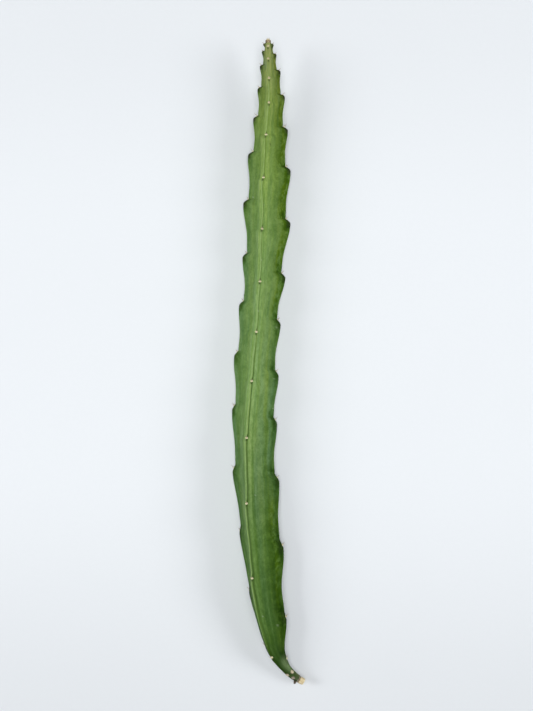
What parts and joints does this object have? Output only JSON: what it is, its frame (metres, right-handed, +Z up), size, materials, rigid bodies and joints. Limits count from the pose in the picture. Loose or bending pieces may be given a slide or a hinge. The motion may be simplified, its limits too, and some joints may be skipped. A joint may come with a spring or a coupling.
{
  "type": "dragon fruit cutting",
  "caption": "Slim three-ribbed climbing cactus stem, toothed and twisted, with spined areoles and a woody cut end, lying flat.",
  "frame": {"origin": "middle of the footprint, on the surface that the cutting lies on", "axes": "+Y along the stem towards its growing tip, +Z up, +X towards the side that the cut end hooks to"},
  "size_m": [0.0523, 0.4514, 0.0303],
  "materials": {
    "green_skin": "waxy satin plant skin, yellowish mid green at the tip, deeper green towards the cut",
    "dry_wood": "dry cream woody core, matt"
  },
  "bodies": {
    "root": {"stem": "green_skin", "woody_end": "dry_wood"}
  },
  "joints": []
}
